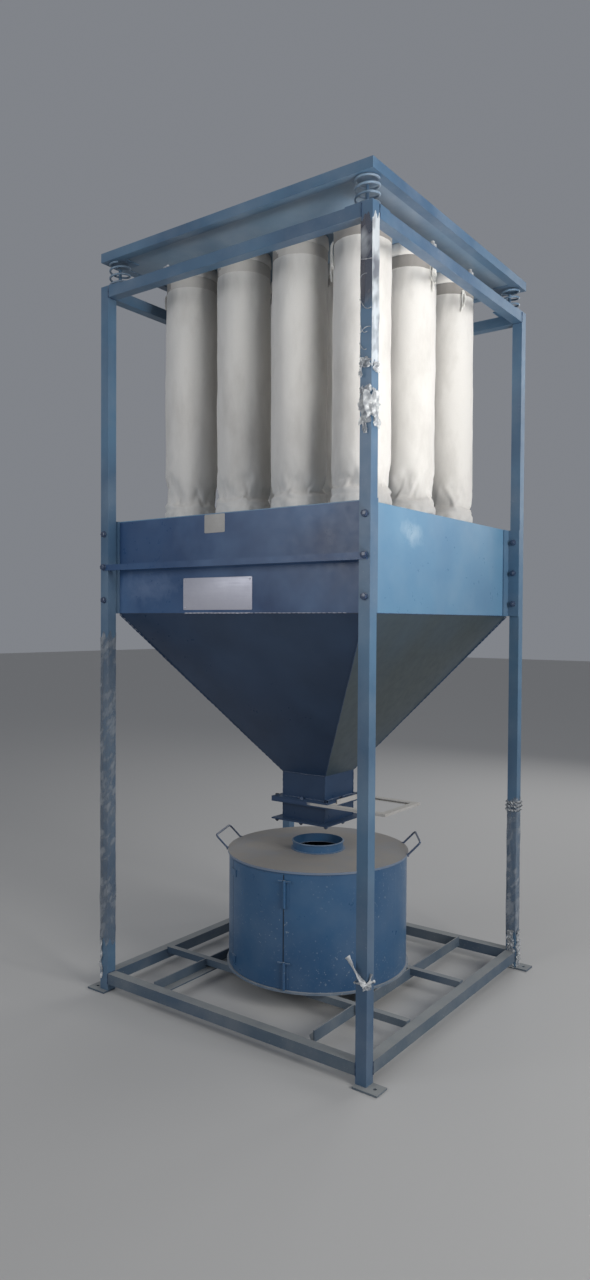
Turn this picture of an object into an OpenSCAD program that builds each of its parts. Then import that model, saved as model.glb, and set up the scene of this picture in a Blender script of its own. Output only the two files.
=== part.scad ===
// Open bag-filter dust collector: a square steel stand carries a dust box, a hopper
// and a slide gate over a dust drum. Cloth bags hang from a sprung shaker tray on top.
// The origin is the centre of the stand at floor level, the front faces -Y.

/* [Stand] */
// Outside width and depth of the square stand
frame_w = 1200; // [1120:10:1300]
// Width of the square post tube
post_w = 40; // [35:1:45]
// Height of the posts
post_h = 2680; // [2500:10:3000]
// Height of the tubes that frame the base and the top
rail_h = 40; // [30:1:50]
// Height of the underside of the base rails
base_rail_z = 31; // [26:1:40]
// Length of a foot plate along the front
foot_l = 90; // [84:1:100]
// Width of a foot plate along the depth
foot_w = 60; // [56:1:80]
// Thickness of a foot plate
foot_t = 6; // [4:1:10]
// Diameter of the anchor hole in a foot plate
foot_hole_d = 12; // [8:1:16]

/* [Drum support] */
// How far an angle rail's outer face stands inside the drum's side
rail_in = 2; // [0:1:8]
// Leg of the angle rails
angle_leg = 40; // [30:1:40]
// Thickness of the angle rails
angle_t = 5; // [3:0.5:6]
// How far the angle rails and the cross bars stand over the base rails
rail_step = 9; // [0:1:12]
// Free gap between the front rail and the right angle rail
angle_gap = 42; // [10:1:80]
// Width of the square cross bars
bar_w = 25; // [20:1:30]
// Distance of the front cross bar from the front of the stand
bar_front_y = 335; // [280:5:400]
// Distance of the back cross bar from the front of the stand
bar_back_y = 740; // [680:5:820]

/* [Dust box] */
// Gap between the box sides and the inner faces of the posts
box_gap = 10; // [6:1:20]
// Height of the underside of the box
box_z = 1450; // [1400:10:1500]
// Height of the box
box_h = 350; // [300:10:400]
// Thickness of the sheet steel
sheet = 3; // [2:0.5:4]
// Leg of the corner angles that bolt the box to the posts
corner_leg = 50; // [45:1:55]
// Thickness of the corner angles
corner_t = 5; // [3:0.5:6]
// Leg of the angle strap across the front
strap_leg = 22; // [18:1:30]
// Thickness of the front strap
strap_t = 3; // [2:0.5:4]
// Distance of a strap end from the side of the stand
strap_inset = 10; // [5:1:18]

/* [Hopper and gate] */
// Vertical height of the hopper's slope
hopper_h = 620; // [560:10:660]
// Outside width of the square neck
neck_w = 200; // [180:5:220]
// Height from the gate's top flange to the hopper's slope
neck_h = 95; // [80:5:120]
// Outside width of the square flanges and of the gate frame
flange_w = 265; // [256:1:290]
// Thickness of the flanges
flange_t = 5; // [4:0.5:8]
// Travel of the gate blade
gate_travel = 207; // [200:1:210]
// Distance left between the opened blade and the end bar of the frame
gate_rest = 14.5; // [10:0.5:20]
// Thickness of the gate blade
blade_t = 3; // [2:0.5:4]
// Running gap over and under the blade
blade_play = 0.5; // [0.3:0.1:1]
// Width of the flat bars of the gate frame
gate_bar_w = 26; // [24:1:28]
// Thickness of the flat bars of the gate frame
gate_bar_t = 3; // [2:0.5:4]
// Distance of the gate blade's side edges from the edges of the gate frame
blade_side = 14; // [12:1:16]
// Height of the pull lip at the blade's free end
pull_h = 18; // [12:1:24]
// Height of the lower neck with its outlet flange
outlet_h = 75; // [60:5:90]

/* [Inlet] */
// Outside diameter of the round inlet
inlet_d = 300; // [260:5:320]
// Distance of the inlet's axis from the front of the stand
inlet_y = 270; // [260:5:600]
// Outside diameter of the inlet's ring flange
ring_d = 340; // [330:5:350]

/* [Drum] */
// Outside diameter of the drum
drum_d = 704; // [660:2:720]
// Height of the drum with its lid
drum_h = 443; // [427:2:445]
// Thickness of the drum's sheet
drum_t = 2; // [1.5:0.5:3]
// How far the drum's bottom chime stands out
chime_out = 8; // [4:1:8]
// Height of the drum's bottom chime
chime_h = 8; // [6:1:8]
// Height of the lid's rolled lip
lid_lip = 8; // [6:1:12]
// Thickness of the lid's rolled lip
lip_t = 5; // [3:0.5:6]
// Gap between the drum and the lip of the lid
lid_fit = 1; // [0.5:0.25:2]
// Outside diameter of the collar on the lid
collar_d = 200; // [180:5:220]
// Height of the collar over the lid
collar_h = 33; // [25:1:40]
// Angle of the door's hinge line, seen from above
hinge_angle = -75; // [-82:1:-70]
// Angle that the door covers
door_sweep = 46; // [36:1:48]
// Height of the door's lower edge over the drum's underside
door_low = 10; // [9:1:20]
// Gap between the door's upper edge and the lid's lip
door_top_gap = 7; // [6:1:12]
// How far the door laps over the sides of its opening, as an angle
door_lap = 3; // [2:0.5:4]
// Diameter of the hinge pins
pin_d = 6; // [5:0.5:7]
// Wall of the hinge knuckles
knuckle_t = 3; // [2.5:0.5:3.5]
// Length of a hinge
hinge_l = 95; // [85:5:105]
// Distance of the upper hinge from the door's upper edge
hinge_drop = 25; // [10:1:40]
// Reach of the ears on top of a hinge
ear_l = 25; // [16:1:30]
// Diameter of the handle rod
handle_d = 8; // [6:1:10]
// Width of a handle
handle_w = 180; // [140:5:200]
// Reach of a handle outwards and upwards
handle_reach = 50; // [40:1:60]
// Angles of the drum handles, seen from above
handle_angles = [35, 203];

/* [Shaker tray] */
// Free height between the posts and the tray
spring_gap = 96; // [90:1:110]
// Outside diameter of the springs
spring_d = 82; // [74:1:90]
// Wire diameter of the springs
wire_d = 8; // [6:1:10]
// Turns of a spring
spring_turns = 3.5; // [3:0.5:4]
// Distance of a spring's axis from the sides of the stand
spring_in = 50; // [47:1:54]
// Width of the square seat plates on the posts
seat_w = 100; // [96:1:110]
// Thickness of the seat plates
seat_t = 4; // [3:1:6]
// Diameter of the guide studs
stud_d = 12; // [10:1:16]
// Leg of the tray's rim angle
rim_leg = 34; // [30:1:45]
// Thickness of the tray's rim angle
rim_t = 3; // [3:0.5:5]
// Thickness of the tray's floor sheet
tray_t = 2; // [1.5:0.5:3]
// Downward travel of the tray
tray_down = 10; // [5:1:12]

/* [Filter bags] */
// Diameter of a filter bag
bag_d = 196; // [180:2:204]
// Bags along the front
bags_x = 4; // [4:1:4]
// Bags along the depth
bags_y = 3; // [3:1:3]
// Distance of the outer bags' axes from the sides of the stand
bag_side = 210; // [200:1:220]
// Distance of the outer bags' axes from the front and the back of the stand
bag_front = 280; // [250:5:310]
// Height of the sheet collars that the bags slip over
bag_collar_h = 30; // [25:1:40]
// Gap between a collar and the bag around it
bag_fit = 1; // [0.5:0.25:2]
// Height of the hem at a bag's lower end
hem_h = 36; // [30:1:60]
// How far the hem stands out from the bag
hem_out = 6; // [4:1:8]
// Height of the cap at a bag's upper end
cap_h = 36; // [30:1:60]
// Height of the tie band under the cap
band_h = 40; // [30:1:60]

/* [Hidden] */

paint = "steelblue";
bare = "silver";
cloth = "linen";
fine_fn = 96;
plain_fn = 32;

half = frame_w / 2;
post_c = half - post_w / 2;
inner = half - post_w;
foot_c = (foot_w / 2 + inner);
foot_hole_x = half + (foot_l - post_w) / 2;
box_half = inner - box_gap;
box_top = box_z + box_h;

neck_half = neck_w / 2;
neck_in = neck_half - sheet;
hopper_low = box_z - hopper_h;
gate_top = hopper_low - neck_h;
frame_top = gate_top - flange_t;
slot_h = blade_t + 2 * blade_play;
slot_top = frame_top - gate_bar_t;
slot_low = slot_top - slot_h;
frame_low = slot_low - gate_bar_t;
outlet_low = frame_low - outlet_h;
flange_half = flange_w / 2;
slope = (box_half - neck_half) / hopper_h;
slope_t = sheet * sqrt(1 + slope * slope);
blade_half = flange_half - blade_side;
blade_left = -blade_half + 4;
blade_right = flange_half + 5;
gate_reach = blade_right + gate_travel + gate_rest + gate_bar_w;

drum_r = drum_d / 2;
rail_x = drum_r - rail_in;
drum_z = base_rail_z + rail_h + rail_step;
lid_top = drum_z + drum_h;
lid_low = lid_top - lid_lip;
lid_in = drum_r + lid_fit;
lid_r = lid_in + lip_t;
collar_r = collar_d / 2;
knuckle_r = pin_d / 2 + knuckle_t;
leaf_t = 2.5;
leaf_l = 16;
hinge_r = drum_r + knuckle_r + 1;
ear_t = 5;
ear_w = 5;
door_play = 0.4;
door_in = drum_r + door_play;
door_out = door_in + drum_t;
door_z0 = drum_z + door_low;
door_z1 = lid_low - door_top_gap;
door_free = hinge_angle - door_sweep;
pin_play = 0.05;
knuckle_h = hinge_l / 3;
knuckle_gap = 0.5;

tray_z = post_h + spring_gap;
spring_r = (spring_d - wire_d) / 2;
bag_r = bag_d / 2;
bag_pitch_x = (frame_w - 2 * bag_side) / (bags_x - 1);
bag_pitch_y = (frame_w - 2 * bag_front) / (bags_y - 1);
bag_collar_r = bag_r - 1 - bag_fit;
bag_z0 = box_top + tray_down + 5;
recess_z = bag_z0 + bag_collar_h;
bag_z1 = tray_z + rim_t;
inlet_r = inlet_d / 2;
inlet_z = box_z + box_h / 2;

// A square block between its low and its high corner
module block(low, high) {
    translate(low) cube(high - low);
}

// Repeats a shape of the front right corner at all four corners
module at_corners() {
    for (x = [0, 1], y = [0, 1])
        mirror([x, 0, 0]) mirror([0, y, 0]) children();
}

// A round ring that stands on z = 0
module ring(r_out, r_in, h, fn = fine_fn) {
    difference() {
        cylinder(r = r_out, h = h, $fn = fn);
        translate([0, 0, -1]) cylinder(r = r_in, h = h + 2, $fn = fn);
    }
}

// A square ring that stands on z = 0
module square_ring(half_out, half_in, h) {
    difference() {
        block([-half_out, -half_out, 0], [half_out, half_out, h]);
        block([-half_in, -half_in, -1], [half_in, half_in, h + 1]);
    }
}

// A wedge of the drum between two angles, seen from above
module wedge(from, to, z0, z1) {
    far = 2 * drum_r;
    mid = (from + to) / 2;
    translate([0, 0, z0])
        linear_extrude(height = z1 - z0)
            polygon([[0, 0], far * [cos(from), sin(from)],
                far * [cos(mid), sin(mid)], far * [cos(to), sin(to)]]);
}

// A curved strip between two radii, two angles and two heights
module curved(r_in, r_out, from, to, z0, z1) {
    intersection() {
        translate([0, 0, z0]) ring(r_out, r_in, z1 - z0);
        wedge(from, to, z0 - 1, z1 + 1);
    }
}

module post(x, y) {
    color(paint)
    translate([x * post_c - post_w / 2, y * post_c - post_w / 2, foot_t])
        cube([post_w, post_w, post_h - foot_t]);
}

module post_front_left() { post(-1, -1); }

module post_front_right() { post(1, -1); }

module post_back_left() { post(-1, 1); }

module post_back_right() { post(1, 1); }

module foot_plates() {
    color(bare)
    at_corners()
        difference() {
            block([inner, inner, 0], [inner + foot_l, inner + foot_w, foot_t]);
            translate([foot_hole_x, foot_c, -1])
                cylinder(d = foot_hole_d, h = foot_t + 2, $fn = plain_fn);
        }
}

// Four tubes that join the posts at one level
module rail_square(z) {
    for (s = [-1, 1]) {
        translate([-inner, s * post_c - post_w / 2, z])
            cube([2 * inner, post_w, rail_h]);
        translate([s * post_c - post_w / 2, -inner, z])
            cube([post_w, 2 * inner, rail_h]);
    }
}

module base_rails() {
    color(paint) rail_square(base_rail_z);
}

module top_rails() {
    color(paint) rail_square(post_h - rail_h);
}

// An angle along the depth with its upright leg outwards, on the right-hand side
module angle_rail(gap) {
    x = rail_x;
    z = drum_z - angle_leg;
    difference() {
        block([x - angle_leg, -inner + gap, z], [x, inner, drum_z]);
        block([x - angle_leg - 1, -inner - 1, z + angle_t],
            [x - angle_t, inner + 1, drum_z + 1]);
        translate([x - angle_leg, -inner + gap, z])
            rotate([0, 0, 45])
                cube([angle_leg, angle_leg, 3 * angle_t], center = true);
    }
}

module angle_rails() {
    color(paint) {
        angle_rail(angle_gap);
        mirror([1, 0, 0]) angle_rail(0);
    }
}

module cross_bar(y) {
    x = rail_x;
    z = drum_z - bar_w;
    block([-inner, y - bar_w / 2, z], [-x, y + bar_w / 2, drum_z]);
    block([-x + angle_t, y - bar_w / 2, z], [x - angle_t, y + bar_w / 2, drum_z]);
    block([x, y - bar_w / 2, z], [inner, y + bar_w / 2, drum_z]);
}

module cross_bars() {
    color(paint) {
        cross_bar(bar_front_y - half);
        cross_bar(bar_back_y - half);
    }
}

module spring_seats() {
    color(paint)
    at_corners() {
        block([half - seat_w, half - seat_w, post_h], [half, half, post_h + seat_t]);
        translate([half - spring_in, half - spring_in, post_h])
            cylinder(d = stud_d, h = spring_gap - tray_down - 10, $fn = plain_fn);
    }
}

// Points around the wire at the part t of the coil's length
function coil_ring(t, z0, z1) = [for (k = [0:7])
    let (a = 360 * t * spring_turns, b = 45 * k, r = spring_r + wire_d / 2 * cos(b))
    [r * cos(a), r * sin(a), z0 + (z1 - z0) * t + wire_d / 2 * sin(b)]];

// One open coil swept as a tube of eight sides
module coil(z0, z1) {
    steps = round(spring_turns * 20);
    points = [for (i = [0:steps]) each coil_ring(i / steps, z0, z1)];
    sides = [for (i = [0:steps - 1], k = [0:7])
        let (a = 8 * i + k, b = 8 * i + (k + 1) % 8)
        [a, a + 8, b + 8, b]];
    ends = [[for (k = [0:7]) k], [for (k = [7:-1:0]) 8 * steps + k]];
    polyhedron(points = points, faces = concat(sides, ends));
}

module shaker_springs() {
    color(paint)
    at_corners()
        translate([half - spring_in, half - spring_in, 0])
            coil(post_h + seat_t + wire_d / 2 + 0.1, tray_z - wire_d / 2 - 0.2);
}

// The rim's angle with a gusset in each corner that rests on the spring
module tray_rim() {
    far = half - rim_leg;
    near = half - seat_w;
    color(paint)
    translate([0, 0, tray_z])
        difference() {
            block([-half, -half, 0], [half, half, rim_leg]);
            translate([0, 0, rim_t])
                block([rim_t - half, rim_t - half, 0],
                    [half - rim_t, half - rim_t, rim_leg]);
            block([-far, -near, -1], [far, near, rim_leg]);
            block([-near, -far, -1], [near, far, rim_leg]);
        }
}

module tray_plate() {
    color(paint)
    block([rim_t - half, rim_t - half, tray_z + rim_t],
        [half - rim_t, half - rim_t, tray_z + rim_t + tray_t]);
}

// Outline of a bag from its axis outwards, turned around the axis
module bag() {
    rotate_extrude($fn = 48)
        polygon([
            [0, recess_z],
            [bag_collar_r + bag_fit, recess_z],
            [bag_collar_r + bag_fit, bag_z0],
            [bag_r + hem_out, bag_z0],
            [bag_r + hem_out, bag_z0 + hem_h],
            [bag_r, bag_z0 + hem_h + hem_out],
            [bag_r, bag_z1 - cap_h - band_h],
            [bag_r + 3, bag_z1 - cap_h - band_h],
            [bag_r + 3, bag_z1 - cap_h],
            [bag_r, bag_z1 - cap_h],
            [bag_r - 4, bag_z1],
            [0, bag_z1]]);
}

function bag_x(i) = (i - (bags_x - 1) / 2) * bag_pitch_x;
function bag_y(j) = (j - (bags_y - 1) / 2) * bag_pitch_y;

// One row of bags from the front to the back
module bag_row(i) {
    color(cloth)
    for (j = [0:bags_y - 1])
        translate([bag_x(i), bag_y(j), 0]) bag();
}

module filter_bags_1() { bag_row(0); }

module filter_bags_2() { bag_row(1); }

module filter_bags_3() { bag_row(2); }

module filter_bags_4() { bag_row(3); }

module box_front() {
    color(paint)
    block([-box_half, -box_half, box_z], [box_half, sheet - box_half, box_top - sheet]);
}

module box_back() {
    color(paint)
    block([-box_half, box_half - sheet, box_z], [box_half, box_half, box_top - sheet]);
}

// The panel of one side, without its openings
module box_side(x) {
    block([x, sheet - box_half, box_z], [x + sheet, box_half - sheet, box_top - sheet]);
}

module box_right() {
    color(paint) box_side(box_half - sheet);
}

module box_left() {
    color(paint)
    difference() {
        box_side(-box_half);
        translate([-box_half - 1, inlet_y - half, inlet_z])
            rotate([0, 90, 0]) cylinder(r = inlet_r - sheet, h = sheet + 2, $fn = fine_fn);
    }
}

// The strip of the bag plate that one row of bags stands on
module bag_plate(i) {
    low = i == 0 ? -box_half : (bag_x(i) - bag_pitch_x / 2);
    high = i == bags_x - 1 ? box_half : (bag_x(i) + bag_pitch_x / 2);
    color(paint)
    difference() {
        block([low, -box_half, box_top - sheet], [high, box_half, box_top]);
        for (j = [0:bags_y - 1])
            translate([bag_x(i), bag_y(j), box_top - sheet - 1])
                cylinder(r = bag_collar_r - 2, h = sheet + 2, $fn = 64);
    }
}

module bag_plate_1() { bag_plate(0); }

module bag_plate_2() { bag_plate(1); }

module bag_plate_3() { bag_plate(2); }

module bag_plate_4() { bag_plate(3); }

module bag_collars() {
    color(bare)
    for (i = [0:bags_x - 1], j = [0:bags_y - 1])
        translate([bag_x(i), bag_y(j), box_top])
            ring(bag_collar_r, bag_collar_r - 2, bag_collar_h, 64);
}

module corner_angles() {
    color(paint)
    at_corners()
        difference() {
            block([box_half, inner - corner_leg, box_z],
                [box_half + corner_leg, inner, box_top]);
            block([box_half + corner_t, inner - corner_leg - 1, box_z - 1],
                [box_half + corner_leg + 1, inner - corner_t, box_top + 1]);
        }
}

module front_strap() {
    x = half - strap_inset;
    z = box_z + box_h / 2 - strap_leg / 2 - 2;
    color(paint) {
        block([-x, -half - strap_t, z], [x, -half, z + strap_leg]);
        block([-inner, -half, z], [inner, -half + strap_leg - strap_t, z + strap_t]);
    }
}

// The sloping plate of the hopper's front, mitred where it meets its neighbours
module hopper_plate() {
    a = box_half;
    b = neck_half;
    points = [
        [-a, -a, box_z], [a, -a, box_z], [a - slope_t, slope_t - a, box_z],
        [slope_t - a, slope_t - a, box_z],
        [-b, -b, hopper_low], [b, -b, hopper_low], [b - slope_t, slope_t - b, hopper_low],
        [slope_t - b, slope_t - b, hopper_low]];
    polyhedron(points = points, faces = [
        [3, 2, 1, 0], [4, 5, 6, 7], [0, 1, 5, 4], [1, 2, 6, 5], [2, 3, 7, 6], [3, 0, 4, 7]]);
}

module hopper_front() { color(paint) hopper_plate(); }

module hopper_back() { color(paint) rotate([0, 0, 180]) hopper_plate(); }

module hopper_left() { color(paint) rotate([0, 0, -90]) hopper_plate(); }

module hopper_right() { color(paint) rotate([0, 0, 90]) hopper_plate(); }

module hopper_neck() {
    color(paint)
    translate([0, 0, gate_top]) {
        square_ring(neck_half, neck_in, neck_h);
        translate([0, 0, -flange_t]) square_ring(flange_half, neck_in, flange_t);
    }
}

module gate_frame() {
    window = flange_half - gate_bar_w;
    slot = blade_half + 0.5;
    color(bare)
    difference() {
        block([-flange_half, -flange_half, frame_low], [gate_reach, flange_half, frame_top]);
        block([-window, -window, frame_low - 1], [window, window, frame_top + 1]);
        block([flange_half, -window, frame_low - 1],
            [gate_reach - gate_bar_w, window, frame_top + 1]);
        block([-slot, -slot, slot_low], [gate_reach - blade_side, slot, slot_top]);
    }
}

module gate_blade() {
    z = slot_low + blade_play;
    wide = flange_half - gate_bar_w - 36;
    color(bare) {
        block([blade_left, -blade_half, z], [blade_right, blade_half, z + blade_t]);
        block([blade_right - blade_t, -wide, z], [blade_right, wide, z + pull_h]);
    }
}

module outlet_neck() {
    color(paint) {
        translate([0, 0, outlet_low]) square_ring(neck_half, neck_in, outlet_h);
        translate([0, 0, frame_low - flange_t])
            square_ring(flange_half, neck_in, flange_t);
        translate([0, 0, outlet_low]) square_ring(flange_half, neck_in, flange_t);
    }
}

module inlet_spigot() {
    reach = foot_l + box_gap;
    color(paint)
    translate([-box_half, inlet_y - half, inlet_z])
        rotate([0, -90, 0]) {
            ring(inlet_r, inlet_r - sheet, reach);
            translate([0, 0, reach - flange_t])
                ring(ring_d / 2, inlet_r - sheet, flange_t);
        }
}

module drum_shell() {
    color(paint)
    difference() {
        translate([0, 0, drum_z]) ring(drum_r, drum_r - drum_t, lid_top - drum_t - drum_z);
        wedge(door_free + door_lap, hinge_angle - door_lap, door_z0 + 6, door_z1 - 6);
    }
}

module drum_base() {
    color(paint)
    translate([0, 0, drum_z]) {
        cylinder(r = drum_r - drum_t, h = drum_t, $fn = fine_fn);
        ring(drum_r + chime_out, drum_r, chime_h);
    }
}

module drum_lid() {
    color(paint)
    difference() {
        translate([0, 0, lid_low]) cylinder(r = lid_r, h = lid_lip, $fn = fine_fn);
        translate([0, 0, lid_low - 1])
            cylinder(r = lid_in, h = lid_lip + 1 - drum_t, $fn = fine_fn);
        translate([0, 0, lid_low]) cylinder(r = collar_r - drum_t, h = 20, $fn = 64);
    }
}

module drum_collar() {
    color(paint)
    translate([0, 0, lid_top])
        rotate_extrude($fn = 64)
            polygon([
                [collar_r - drum_t, 0], [collar_r + 8, 0], [collar_r + 8, 2], [collar_r, 2],
                [collar_r, collar_h - 6], [collar_r + 3, collar_h - 5],
                [collar_r + 4, collar_h - 3], [collar_r + 3, collar_h - 1],
                [collar_r, collar_h], [collar_r - drum_t, collar_h]]);
}

// Heights of the two hinges of the door
function hinge_z(i) = i == 0 ? door_z0 : (door_z1 - hinge_drop - hinge_l);

// One barrel of a hinge, or a room for it, around the hinge line
module barrel(r, z0, z1) {
    rotate([0, 0, hinge_angle])
        translate([hinge_r, 0, z0])
            rotate([0, 0, 50]) cylinder(r = r, h = z1 - z0, $fn = plain_fn);
}

// An ear on top of a hinge, along the drum's side between two distances from the pin
module ear(r_in, from, to, z) {
    rotate([0, 0, hinge_angle])
        block([r_in, from, z - 1], [hinge_r + ear_w / 2, to, z - 1 + ear_t]);
}

// A curved strap that ends near the hinge line, on one side of it
module strap(side, r_in, z0, z1) {
    near = hinge_angle + side * 0.4;
    far = hinge_angle + side * leaf_l * 57.3 / drum_r;
    curved(r_in, r_in + leaf_t, min(far, near), max(far, near), z0, z1);
}

module drum_door() {
    color(paint)
    difference() {
        union() {
            curved(door_in, door_out, door_free, hinge_angle - 1, door_z0, door_z1);
            for (i = [0, 1]) {
                z = hinge_z(i);
                difference() {
                    strap(-1, door_in + 1, z + 2, z + hinge_l - 2);
                    barrel(knuckle_r + 1, z - 1, z + knuckle_h + knuckle_gap);
                    barrel(knuckle_r + 1, z + 2 * knuckle_h - knuckle_gap, z + hinge_l + 1);
                }
                barrel(knuckle_r, z + knuckle_h + knuckle_gap, z + 2 * knuckle_h - knuckle_gap);
                ear(door_in + 1, -ear_l, -knuckle_r - 1, z + hinge_l);
            }
            for (z = [door_z0 + 45, door_z1 - 45])
                curved(door_out - 0.5, door_out + 3, door_free - 3, door_free + 5,
                    z - 13, z + 13);
        }
        barrel(pin_d / 2 + pin_play, drum_z, drum_z + drum_h);
    }
}

module drum_hinges() {
    color(bare)
    for (i = [0, 1]) {
        z = hinge_z(i);
        difference() {
            strap(1, drum_r, z + 2, z + hinge_l - 2);
            barrel(knuckle_r + 1, z + knuckle_h, z + 2 * knuckle_h);
        }
        barrel(knuckle_r, z, z + knuckle_h);
        barrel(pin_d / 2, z + knuckle_h - 4, z + 2 * knuckle_h + 4);
        barrel(knuckle_r, z + 2 * knuckle_h, z + hinge_l);
        ear(hinge_r - ear_w / 2, 0, ear_l, z + hinge_l);
        barrel(knuckle_r - 0.5, z + hinge_l - 1, z + hinge_l + ear_t);
    }
}

// Points around the handle's rod at one place of its path, in the handle's own plane
function rod_ring(p, turn) = [for (k = [0:9])
    let (b = 36 * k, w = handle_d / 2 * cos(b), n = handle_d / 2 * sin(b))
    [(p[0] + w * cos(turn) - n) * sqrt(0.5), p[1] + w * sin(turn), (p[0] + w * cos(turn) + n) * sqrt(0.5)]];

// One handle: a bent rod that rises outwards from the lid's lip
module handle() {
    half_w = handle_w / 2;
    reach = handle_reach * sqrt(2);
    bend = 14;
    corner = [for (a = [0:15:90]) [reach - bend + bend * sin(a), half_w - bend + bend * cos(a), a]];
    path = concat([[0, half_w, 0]], corner,
        [for (i = [6:-1:0]) [corner[i][0], -corner[i][1], 180 - corner[i][2]]],
        [[0, -half_w, 180]]);
    last = len(path) - 1;
    points = [for (p = path) each rod_ring(p, 90 - p[2])];
    sides = [for (i = [0:last - 1], k = [0:9])
        let (a = 10 * i + k, b = 10 * i + (k + 1) % 10)
        [a, b, b + 10, a + 10]];
    ends = [[for (k = [9:-1:0]) k], [for (k = [0:9]) 10 * last + k]];
    polyhedron(points = points, faces = concat(sides, ends));
}

module drum_handles() {
    foot = lid_r - handle_w * handle_w / (8 * lid_r) + handle_d * 0.36;
    color(paint)
    for (a = handle_angles)
        rotate([0, 0, a])
            translate([foot, 0, lid_top - handle_d / 2]) handle();
}

post_front_left();
post_front_right();
post_back_left();
post_back_right();
foot_plates();
base_rails();
angle_rails();
cross_bars();
top_rails();
spring_seats();
shaker_springs();
tray_rim();
tray_plate();
filter_bags_1();
filter_bags_2();
filter_bags_3();
filter_bags_4();
box_front();
box_back();
box_left();
box_right();
bag_plate_1();
bag_plate_2();
bag_plate_3();
bag_plate_4();
bag_collars();
corner_angles();
front_strap();
hopper_front();
hopper_back();
hopper_left();
hopper_right();
hopper_neck();
gate_frame();
gate_blade();
outlet_neck();
inlet_spigot();
drum_shell();
drum_base();
drum_lid();
drum_collar();
drum_door();
drum_hinges();
drum_handles();
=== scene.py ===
"""Looks of the open bag filter: worn paint, cloth bags, springs, bolts, bare plates and torn film."""
import math

import bmesh
import bpy
from mathutils import Matrix, Vector, noise


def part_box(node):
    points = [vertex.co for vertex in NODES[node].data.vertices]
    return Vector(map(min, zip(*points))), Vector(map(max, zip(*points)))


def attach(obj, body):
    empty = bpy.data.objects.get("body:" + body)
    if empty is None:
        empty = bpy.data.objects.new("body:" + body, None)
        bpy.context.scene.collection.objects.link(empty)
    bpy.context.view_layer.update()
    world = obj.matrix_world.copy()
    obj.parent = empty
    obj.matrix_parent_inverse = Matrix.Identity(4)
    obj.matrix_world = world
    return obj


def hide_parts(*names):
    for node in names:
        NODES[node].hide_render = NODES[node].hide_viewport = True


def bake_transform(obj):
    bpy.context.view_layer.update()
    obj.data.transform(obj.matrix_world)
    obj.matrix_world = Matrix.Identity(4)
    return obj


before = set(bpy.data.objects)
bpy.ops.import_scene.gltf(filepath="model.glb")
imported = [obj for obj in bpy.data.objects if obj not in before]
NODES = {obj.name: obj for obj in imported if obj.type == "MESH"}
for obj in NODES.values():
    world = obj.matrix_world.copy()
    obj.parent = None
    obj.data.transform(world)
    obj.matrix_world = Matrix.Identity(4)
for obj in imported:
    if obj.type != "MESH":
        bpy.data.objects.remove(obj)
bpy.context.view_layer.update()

# A hair of room between a visible piece and the solid that it stands against
EPS = 0.0003


def low(node):
    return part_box(node)[0]


def high(node):
    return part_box(node)[1]


# Sizes in metres that the solids' boxes don't show
NECK_HALF = 0.1
FLANGE_T = 0.005
FLANGE_BOLT = 0.1165
SEAT_T = 0.004
BAG_R = 0.098
HEM_R = 0.104

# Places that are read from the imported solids
HALF = high("post_front_right")[0]
POST_W = HALF - low("post_front_right")[0]
POST_C = HALF - POST_W / 2
POST_TOP = high("post_front_right")[2]
BOX_HALF = high("box_right")[0]
BOX_LOW = low("box_front")[2]
NECK_TOP = high("hopper_neck")[2]
GATE_TOP = high("gate_frame")[2]
GATE_LOW = low("gate_frame")[2]
OUTLET_LOW = low("outlet_neck")[2]
SEAT_TOP = POST_TOP + SEAT_T
TRAY_Z = low("tray_rim")[2]
SPRING_C = HALF - 0.05
BAG_LOW = low("filter_bags_1")[2]
BAG_TOP = high("filter_bags_1")[2] - EPS
BAG_X = [(low("filter_bags_%d" % n)[0] + high("filter_bags_%d" % n)[0]) / 2 for n in (1, 2, 3, 4)]
BAG_STEP_Y = high("filter_bags_1")[1] - HEM_R
BAG_Y = [-BAG_STEP_Y, 0.0, BAG_STEP_Y]
LID_TOP = high("drum_lid")[2]
LID_R = high("drum_lid")[0]
CORNERS = [(-1, -1), (1, -1), (-1, 1), (1, 1)]


def make_camera():
    """The camera stands where the stand's four posts place it, with a level gaze."""
    data = bpy.data.cameras.new("camera")
    data.sensor_width = 36.0
    data.sensor_fit = "AUTO"
    data.lens = 24.497
    camera = bpy.data.objects.new("camera", data)
    bpy.context.scene.collection.objects.link(camera)
    right = Vector((0.80537, 0.59275, 0.00581))
    up = Vector((-0.01717, 0.01353, 0.99976))
    back = Vector((0.59253, -0.80527, 0.02107))
    place = Matrix((right, up, back)).transposed().to_4x4()
    place.translation = Vector((1.97127, -2.84167, 1.42245))
    camera.matrix_world = place
    bpy.context.scene.camera = camera


make_camera()


# Node helpers
def srgb(r, g, b):
    """An sRGB colour of 0 to 255 as linear values."""
    def linear(v):
        v /= 255
        return v / 12.92 if v <= 0.04045 else ((v + 0.055) / 1.055) ** 2.4
    return linear(r), linear(g), linear(b)


def new_group(name, inputs):
    """A node group whose outputs are a colour, a roughness and a height."""
    tree = bpy.data.node_groups.new(name, "ShaderNodeTree")
    for label, value in inputs.items():
        kind = "NodeSocketColor" if isinstance(value, tuple) else "NodeSocketFloat"
        socket = tree.interface.new_socket(label, in_out="INPUT", socket_type=kind)
        socket.default_value = (*value, 1.0) if isinstance(value, tuple) else value
    for label in ("Color", "Roughness", "Height"):
        kind = "NodeSocketColor" if label == "Color" else "NodeSocketFloat"
        tree.interface.new_socket(label, in_out="OUTPUT", socket_type=kind)
    return tree, tree.nodes.new("NodeGroupInput").outputs, tree.nodes.new("NodeGroupOutput").inputs


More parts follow.
